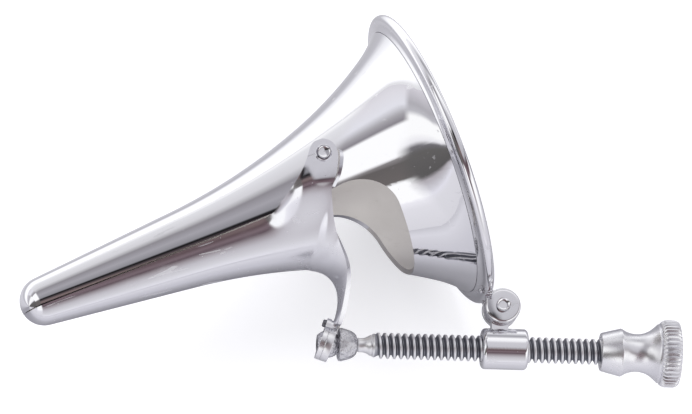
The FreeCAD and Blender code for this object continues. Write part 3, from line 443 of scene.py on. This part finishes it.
columns = []
for way in (16.95, 18.5, 21, 24.5, 29, 34, 40, 47, 54, 62, 70, 78):
    x = -65.338 - nose_radius * math.cos(math.radians(way))
    columns.append((x, -trumpet_radius(x), x, blade_seam, 0))
for number in range(21):
    x = -65.7 + number * 1.81
    columns.append((x, -trumpet_radius(x), x, blade_seam, 0))
for low_x, top_x in ((-28.6, -28.4), (-27.6, -26.8), (-26.8, -25.2), (-26.1, -23.6), (-25.5, -21.9), (-25.0, -20.3),
                     (-24.6, -19.0)):
    columns.append((low_x, -trumpet_radius(low_x), top_x, blade_seam, 0))
heel_start = len(columns)
columns += [
    (-24.1, -9.95, -19.3, -2.55, 0.1), (-23.6, -10.22, -19.7, -4.28, 0.25), (-23.1, -10.55, -19.93, -6.0, 0.45),
    (-22.6, -10.98, -19.97, -7.65, 0.7), (-22.15, -11.55, -19.92, -9.15, 0.9), (-21.8, -12.3, -19.75, -10.7, 1),
    (-21.58, -13.2, -19.85, -12.3, 1), (-21.6, -14.2, -20.4, -13.88, 1), (-21.85, -15.3, -21.15, -15.35, 1),
    (-22.4, -16.5, -21.95, -16.72, 1), (-23.1, -17.6, -22.7, -18.0, 1), (-23.85, -18.6, -23.4, -19.0, 1),
    (-24.55, -19.35, -24.0, -19.75, 1),
]
lever_edges = [0, 0, 0, 0, 7.35, 6.5, 5.7, 4.85, 4.1, 3.45, 2.85, 2.35, 2.1]
rows = 13


def on_blade(column, row):
    """A point of the blade's outer face: columns run from the nose to the lever's end, rows up to the seam."""
    low_x, low_y, top_x, top_y, bent = columns[column]
    share = row / rows
    if column < heel_start:
        radius = trumpet_radius(low_x)
        turn_end = math.acos(min(1, -top_y / radius))
        along = (1 - math.cos(share * turn_end)) / (1 - math.cos(turn_end))
        x = low_x + (top_x - low_x) * along
        y = -radius * math.cos(share * turn_end)
        return x, y, blade_height(x, y) if row else 0
    wide = lever_edges[column - heel_start] or blade_height(top_x, top_y)
    turn_end = math.radians(84 - 34 * bent)
    along = (1 - math.cos(share * turn_end)) / (1 - math.cos(turn_end))
    x = low_x + (top_x - low_x) * along
    y = low_y + (top_y - low_y) * along
    z = wide * math.sin(share * turn_end) / math.sin(turn_end)
    if row and bent < 1:
        shrunk = (-trumpet_radius(low_x) - top_y) / (low_y - top_y)
        z += (1 - bent) * (blade_height(x, top_y + (y - top_y) * shrunk) - z)
    return x, y, z


blade = bmesh.new()
placed_grid(blade, len(columns) - 1, rows, on_blade)
ear_left = [(-28.4, -1.1), (-27.2, -0.3), (-25.6, 0.6), (-24.0, 1.65), (-22.6, 2.75), (-21.4, 3.95), (-20.55, 5.0),
            (-19.85, 6.0), (-18.95, 6.62)]
ear_right = [(-19.0, -1.1), (-18.35, -0.4), (-17.65, 0.4), (-16.95, 1.6), (-16.35, 2.75), (-15.95, 3.9),
             (-15.98, 5.1), (-16.5, 6.05), (-17.45, 6.62)]
ear_columns = [top_x for low_x, low_y, top_x, top_y, bent in columns[heel_start - 7:heel_start]]


def on_ear(column, row):
    """A point of the ear's outer face, between its left and right edges."""
    share = (ear_columns[column] + 28.4) / 9.4
    x = ear_left[row][0] + (ear_right[row][0] - ear_left[row][0]) * share
    y = ear_left[row][1] + (ear_right[row][1] - ear_left[row][1]) * share
    return x, y, blade_height(x, y)


placed_grid(blade, len(ear_columns) - 1, len(ear_left) - 1, on_ear)
bmesh.ops.remove_doubles(blade, verts=blade.verts, dist=0.001)
bmesh.ops.mirror(blade, geom=blade.faces[:] + blade.edges[:] + blade.verts[:], axis="Z", merge_dist=0.01)
bmesh.ops.remove_doubles(blade, verts=blade.verts, dist=0.001)
bmesh.ops.recalc_face_normals(blade, faces=blade.faces)
if sum(face.normal.y * face.calc_area() for face in blade.faces) > 0:
    bmesh.ops.reverse_faces(blade, faces=blade.faces)
thin = blade.verts.layers.deform.verify()
for vert in blade.verts:
    clearance = abs(vert.co.z) - math.sqrt(max(0, trumpet_radius(vert.co.x) ** 2 - vert.co.y ** 2))
    full = vert.co.y < -1.05 or vert.co.x < -29
    vert[thin][0] = 1 if full else min(1, max(0.1, (clearance - 0.1) / sheet))
# The same chrome as the funnel's, more scratched, and rubbed dull round the heel, where the hand holds it.
blade_plate = metal("worn_chrome_plate", "EBEBEF", 0.055, worn=0.13, scratched=0.35)
tree = blade_plate.node_tree
roughness_in = tree.nodes["Principled BSDF"].inputs["Roughness"]
everywhere = roughness_in.links[0].from_socket
where = add_node(tree, "ShaderNodeTexCoord")
folded = add_node(tree, "ShaderNodeVectorMath", {0: where.outputs["Object"]}, operation="ABSOLUTE")
from_heel = add_node(tree, "ShaderNodeVectorMath", {0: folded.outputs[0], 1: (0.0225, 0.0115, 0.003)},
                     operation="DISTANCE")
handled = add_node(tree, "ShaderNodeMapRange", {"Value": from_heel.outputs["Value"], "From Min": 0.0085,
                                                "From Max": 0.003, "To Max": 0.24})
heel_worn = add_node(tree, "ShaderNodeMath", {0: everywhere, 1: handled.outputs[0]}, operation="ADD")
tree.links.new(heel_worn.outputs[0], roughness_in)
lower = piece("lower_blade_sheet", blade, blade_plate, "blade_body", sharp=180)
lower.data.materials.append(horn_inside)
lower.vertex_groups.new(name="thickness")
smooth = lower.modifiers.new("smooth", "SUBSURF")
smooth.levels = smooth.render_levels = 2
wall = lower.modifiers.new("wall", "SOLIDIFY")
wall.thickness = sheet / 1000
wall.offset = -1
wall.use_even_offset = True
wall.vertex_group = "thickness"
wall.material_offset = 1
wall.material_offset_rim = 0
edges = lower.modifiers.new("edges", "BEVEL")
edges.width = 0.00022
edges.segments = 3
edges.limit_method = "ANGLE"
edges.angle_limit = math.radians(50)
edges.harden_normals = True
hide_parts("lower_blade")

# Eye at the lever's end: a thick round plate brazed to the lever, with a tab above it for the clamping screw. It is
# filed flat by hand before it is chromed, so that its bands of light are soft.
ball = Vector((-26.34, -21.83, 0))
eye_place = Matrix.Translation(ball) @ Matrix.Rotation(math.radians(-40), 4, "Z")
eye = bmesh.new()
corner_vert = eye.verts.new((-0.5, 1.75, 0))
corner_vert = run(eye, corner_vert, -0.5, 2.6)
corner_vert = bend(eye, corner_vert, 90, -0.15, -90, 3)
corner_vert = run(eye, corner_vert, 0.6, 2.75)
corner_vert = bend(eye, corner_vert, 0, -0.15, -90, 3)
run(eye, corner_vert, 0.75, 2.0)
turn_round(eye, 64)
tab = bmesh.ops.create_cube(eye, size=1)["verts"]
bmesh.ops.scale(eye, vec=(0.8, 2.4, 1.9), verts=tab)
bmesh.ops.translate(eye, vec=(-0.1, 2.6, 0), verts=tab)
tab_ends = dict.fromkeys(edge for vert in tab for edge in vert.link_edges if vert.co.y > 3
                         and edge.other_vert(vert).co.y > 3 and abs(edge.verts[0].co.z - edge.verts[1].co.z) < 0.1)
bmesh.ops.bevel(eye, geom=list(tab_ends), offset=0.85, segments=6, profile=0.5, affect="EDGES", material=-1)
clamp_plate = metal("filed_chrome_plate", "F2F2F4", 0.24, worn=0.15, scratched=0.25)
eye_plate = piece("lever_eye", eye, clamp_plate, "blade_body", place=eye_place)
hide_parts("lower_blade")

# Hinge rivets: low round heads, set through each ear into the boss under it, with the head's edge burnished down.
# They are plated like the funnel.
hinge = Vector((-18.2, 4.4, 0))
for side, name in ((1, "hinge_rivet_near"), (-1, "hinge_rivet_far")):
    rivet = bmesh.new()
    vert = rivet.verts.new((ear_face + 0.62, 0, 0))
    vert = bend(rivet, vert, 90, -3.6, -12, 5)
    vert = bend(rivet, vert, 78, -0.42, -62, 6)
    vert = run_through(rivet, vert, ((ear_face + 0.16, 1.1), (ear_face + 0.2, 1.2)))
    vert = bend(rivet, vert, 80, -0.13, -150, 6)
    run(rivet, vert, ear_face - 1.2, 1.0)
    turn_round(rivet, 48)
    place = Matrix.Translation(hinge) @ Matrix.Rotation(math.radians(-90 * side), 4, "Y")
    head = piece(name, rivet, chrome, "funnel_body", place=place)
    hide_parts("hinge_rivets")

# Screw: a long right-hand thread of 24 turns to the inch with its real pitch and 60 degree flanks, cut on plain steel,
# and a tapered neck towards the ball. Its colour is painted light and shade: painted shade in the thread's roots, a
# painted highlight on the crests, and the unthreaded neck given the crest colour.
pivot = Vector((1.46, -26.1, 0))
screw_tilt = -22.073
screw_place = Matrix.Translation(ball) @ Matrix.Rotation(math.radians(screw_tilt), 4, "Z")
cut_steel = metal("cut_steel", "B9BABF", 0.34, worn=0.12, scratched=0.1)
tree = cut_steel.node_tree
where = add_node(tree, "ShaderNodeTexCoord")
on_axis = add_node(tree, "ShaderNodeMapping", {"Vector": where.outputs["Object"], "Location": ball / 1000,
                                               "Rotation": (0, 0, math.radians(screw_tilt))}, vector_type="TEXTURE")
from_axis = add_node(tree, "ShaderNodeVectorMath", {0: on_axis.outputs[0], 1: (0, 1, 1)}, operation="MULTIPLY")
radius_here = add_node(tree, "ShaderNodeVectorMath", {0: from_axis.outputs[0]}, operation="LENGTH")
# Painted light and shade by distance from the screw's axis: grey painted shade at the roots, rising to a painted
# highlight at the crests.
height = add_node(tree, "ShaderNodeMapRange", {"Value": radius_here.outputs["Value"], "From Min": 0.0015,
                                               "From Max": 0.002})
along_axis = add_node(tree, "ShaderNodeSeparateXYZ", {0: on_axis.outputs[0]})
threaded = add_node(tree, "ShaderNodeMath", {0: along_axis.outputs["X"], 1: 0.0073}, operation="LESS_THAN")
bright = add_node(tree, "ShaderNodeMath", {0: height.outputs[0], 1: threaded.outputs[0]}, operation="MAXIMUM")
painted_thread_light_and_shade = add_node(tree, "ShaderNodeValToRGB", {0: bright.outputs[0]})
painted_thread_light_and_shade.color_ramp.elements[0].color = linear("8E8F97")
painted_thread_light_and_shade.color_ramp.elements[1].color = linear("F2F2F4")
painted_thread_light_and_shade.color_ramp.elements.new(0.75).color = linear("B4B5BB")
tree.links.new(painted_thread_light_and_shade.outputs[0], tree.nodes["Principled BSDF"].inputs["Base Color"])
pitch = 1.0583
crest, root_radius = 2.03, 1.42
turns = 34
thread_start = 7.3
steps_round = 36
thread = bmesh.new()
vert = thread.verts.new((thread_start, root_radius, 0))
run_through(thread, vert, ((thread_start + 0.14, root_radius), (thread_start + 0.44, crest - 0.04),
                           (thread_start + 0.51, crest), (thread_start + 0.69, crest),
                           (thread_start + 0.76, crest - 0.04), (thread_start + pitch, root_radius)))
bmesh.ops.spin(thread, geom=thread.verts[:] + thread.edges[:], cent=(0, 0, 0), axis=(1, 0, 0),
               dvec=(pitch / steps_round, 0, 0), angle=2 * math.pi * turns, steps=turns * steps_round)
bmesh.ops.remove_doubles(thread, verts=thread.verts, dist=0.001)
rod = bmesh.new()
vert = rod.verts.new((4.7, 0.3, 0))
vert = run_through(rod, vert, ((4.7, 1.02), (4.85, 1.13), (5.5, 1.1), (6.0, 1.22), (6.45, 1.45), (6.7, 1.62),
                               (6.84, 1.64), (6.9, 1.52), (6.98, 1.52), (7.04, 1.74), (7.3, 1.86), (7.5, 1.8),
                               (8.2, 1.42)))
vert = run(rod, vert, 43.3, 1.42)
run(rod, vert, 43.3, 0.3)
turn_round(rod, 48)
rod_data = bpy.data.meshes.new("rod_part")
rod.to_mesh(rod_data)
rod.free()
thread.from_mesh(rod_data)
bmesh.ops.recalc_face_normals(thread, faces=thread.faces)
screw = piece("screw_rod", thread, cut_steel, "screw_body", sharp=28, place=screw_place)
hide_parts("screw")

# Ball and bell: cast in one, filed roughly round, then chromed, so that its skin is bright with lumps about 0.9 mm
# wide. The screw's end turns in it, and the ball swings in the lever's eye.
cast_plate = metal("plated_rough_casting", "D8D8DC", 0.18, worn=0.25, scratched=0.3, grain_mm=0.9, relief=1.0,
                   relief_mm=0.6)
casting = bmesh.new()
vert = casting.verts.new((-1.62, 0.8, 0))
vert = run(casting, vert, -1.62, 1.4)
vert = bend(casting, vert, 48, -2.2, -90, 10)
vert = run_through(casting, vert, ((1.72, 1.3), (1.66, 1.9), (1.66, 2.3), (1.8, 2.55), (2.2, 2.62), (2.9, 2.42),
                                   (3.6, 2.2), (4.15, 1.9), (4.5, 1.5), (4.65, 1.05)))
run(casting, vert, 4.65, 0.8)
turn_round(casting, 64)
ball_bell = piece("swivel_ball_and_bell", casting, cast_plate, "ball_body", sharp=50, place=screw_place)
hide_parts("swivel_ball")

# Knob: turned from nickel silver, with a cupped face, a sharp ridge, a waist and a head with straight knurls, and
# fixed on the rod's end. It is left as it came from the lathe: satin, with turning marks about 0.2 mm apart.
turned_nickel = metal("turned_nickel_silver", "F0F0F3", 0.25, worn=0.1, scratched=0.2, grain=(1, 0.15, 0.15),
                      grain_mm=0.18, relief=0.3, relief_mm=0.01)
knob_start = 43.0
knob = bmesh.new()
vert = knob.verts.new((knob_start + 0.42, 1.5, 0))
for x, radius in ((0.4, 2.35), (0.04, 2.4), (0.0, 2.5), (0.02, 2.92), (0.14, 3.02), (3.02, 3.74), (3.15, 3.78),
                  (3.28, 3.73), (3.9, 3.36), (4.5, 3.13), (5.1, 3.0), (5.7, 2.96), (6.3, 3.0), (6.9, 3.14),
                  (7.5, 3.4), (8.0, 3.72), (8.5, 4.13), (8.85, 4.46), (9.0, 4.6), (9.1, 4.64), (9.16, 4.52),
                  (9.24, 4.5), (9.3, 4.66), (9.42, 4.86), (9.62, 5.06), (9.9, 5.2), (10.2, 5.28), (11.6, 5.28),
                  (11.9, 5.2), (12.12, 5.08), (12.3, 4.88), (12.38, 4.6), (12.4, 4.2), (12.4, 2.0), (12.4, 0.0)):
    vert = run(knob, vert, knob_start + x, radius)
knurls = 45
turn_round(knob, knurls * 6)
for vert in knob.verts:
    reach = math.hypot(vert.co.y, vert.co.z)
    if vert.co.x > knob_start + 9.36 and reach > 4.8:
        phase = (math.degrees(math.atan2(vert.co.z, vert.co.y)) * knurls / 360) % 1
        notch = max(0, 1 - abs(phase - 0.5) / 0.3)
        deep = min(1, (reach - 4.7) / 0.4) * 0.3 * notch
        bmesh.ops.scale(knob, vec=(1, 1 - deep / reach, 1 - deep / reach), verts=[vert])
grip = piece("knurled_knob", knob, turned_nickel, "screw_body", sharp=40, place=screw_place)
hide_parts("knob")

# Swivel cheeks: two turned discs soldered to the rim one behind the other, each on a small square foot. They are
# chromed over brass and buffed less than the funnel.
cheek_plate = metal("buffed_chrome_plate", "E9E9EC", 0.09, worn=0.12, scratched=0.25)
for side, name in ((1, "swivel_cheek_near"), (-1, "swivel_cheek_far")):
    cheek = bmesh.new()
    vert = cheek.verts.new((1.15, 0.82, 0))
    vert = run(cheek, vert, 1.15, 2.7)
    vert = bend(cheek, vert, 90, -0.1, -90, 3)
    run_through(cheek, vert, ((2.05, 2.8), (2.1, 2.79), (2.28, 2.68), (2.4, 2.5), (2.445, 2.3), (2.45, 0.82)))
    turn_round(cheek, 72)
    foot = bmesh.ops.create_cube(cheek, size=1)["verts"]
    bmesh.ops.scale(cheek, vec=(1.1, 1.9, 1.5), verts=foot)
    bmesh.ops.translate(cheek, vec=(1.8, 2.0, 1.3 * side), verts=foot)
    place = Matrix.Translation(pivot) @ Matrix.Rotation(math.radians(-90 * side), 4, "Y")
    disc = piece(name, cheek, cheek_plate, "funnel_body", place=place)
    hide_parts("swivel_cheeks")

# Swivel pin: riveted over both cheeks, its heads filed almost flat and plated like them. The nut's tongue turns on it
# between the cheeks.
for side, name in ((1, "swivel_pin_near"), (-1, "swivel_pin_far")):
    pin = bmesh.new()
    vert = pin.verts.new((2.84, 0, 0))
    vert = run(pin, vert, 2.84, 0.5)
    vert = bend(pin, vert, 90, -0.7, -58, 6)
    run_through(pin, vert, ((2.47, 1.14), (0.0, 0.78)))
    turn_round(pin, 48)
    place = Matrix.Translation(pivot) @ Matrix.Rotation(math.radians(-90 * side), 4, "Y")
    head = piece(name, pin, chrome, "funnel_body", place=place)
    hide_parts("swivel_pin")

# Solder: small bright lumps of tin left along the bead of the rim, where it was heated to fix the cheeks. They are
# soft and a little duller than the plate round them.
solder = metal("bright_solder", "DADADF", 0.12, worn=0.2, scratched=0.2)
trail = bmesh.new()
for x, y, z, size in ((-0.2, -21.35, 9.2, 0.42), (-0.1, -22.2, 7.2, 0.36), (-0.15, -22.8, 5.1, 0.48),
                      (0.05, -23.5, 3.6, 0.55), (-1.2, -22.9, 3.4, 0.4)):
    lump = bmesh.ops.create_icosphere(trail, subdivisions=3, radius=size)["verts"]
    for vert in lump:
        vert.co *= 1 + 0.16 * math.sin(9 * vert.co.x + 4 * y) + 0.12 * math.sin(11 * vert.co.z + 3 * z)
    bmesh.ops.translate(trail, vec=(x, y, z), verts=lump)
lumps = piece("solder_lumps", trail, solder, "funnel_body", sharp=180)
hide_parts("swivel_cheeks")

# Clamp and nut: the thin retaining plate with its cheese-head screw and two small rivets, and the barrel nut. They
# are turned or filed from plain stock; the plates and the nut are chromed, the screw is dark oiled steel.
dark_steel = metal("oiled_dark_steel", "7C7C82", 0.3, worn=0.15, scratched=0.15)
nut_plate = metal("turned_chrome_plate", "EEEEF1", 0.05, worn=0.05, scratched=0.25, grain=(1, 0.1, 0.1), grain_mm=0.2,
                  relief=0.25, relief_mm=0.01)
for name, finish in (("ball_retainer", clamp_plate), ("retainer_rivets", clamp_plate), ("retainer_screw", dark_steel),
                     ("swivel_nut", nut_plate)):
    nodes[name].data.materials.clear()
    nodes[name].data.materials.append(finish)
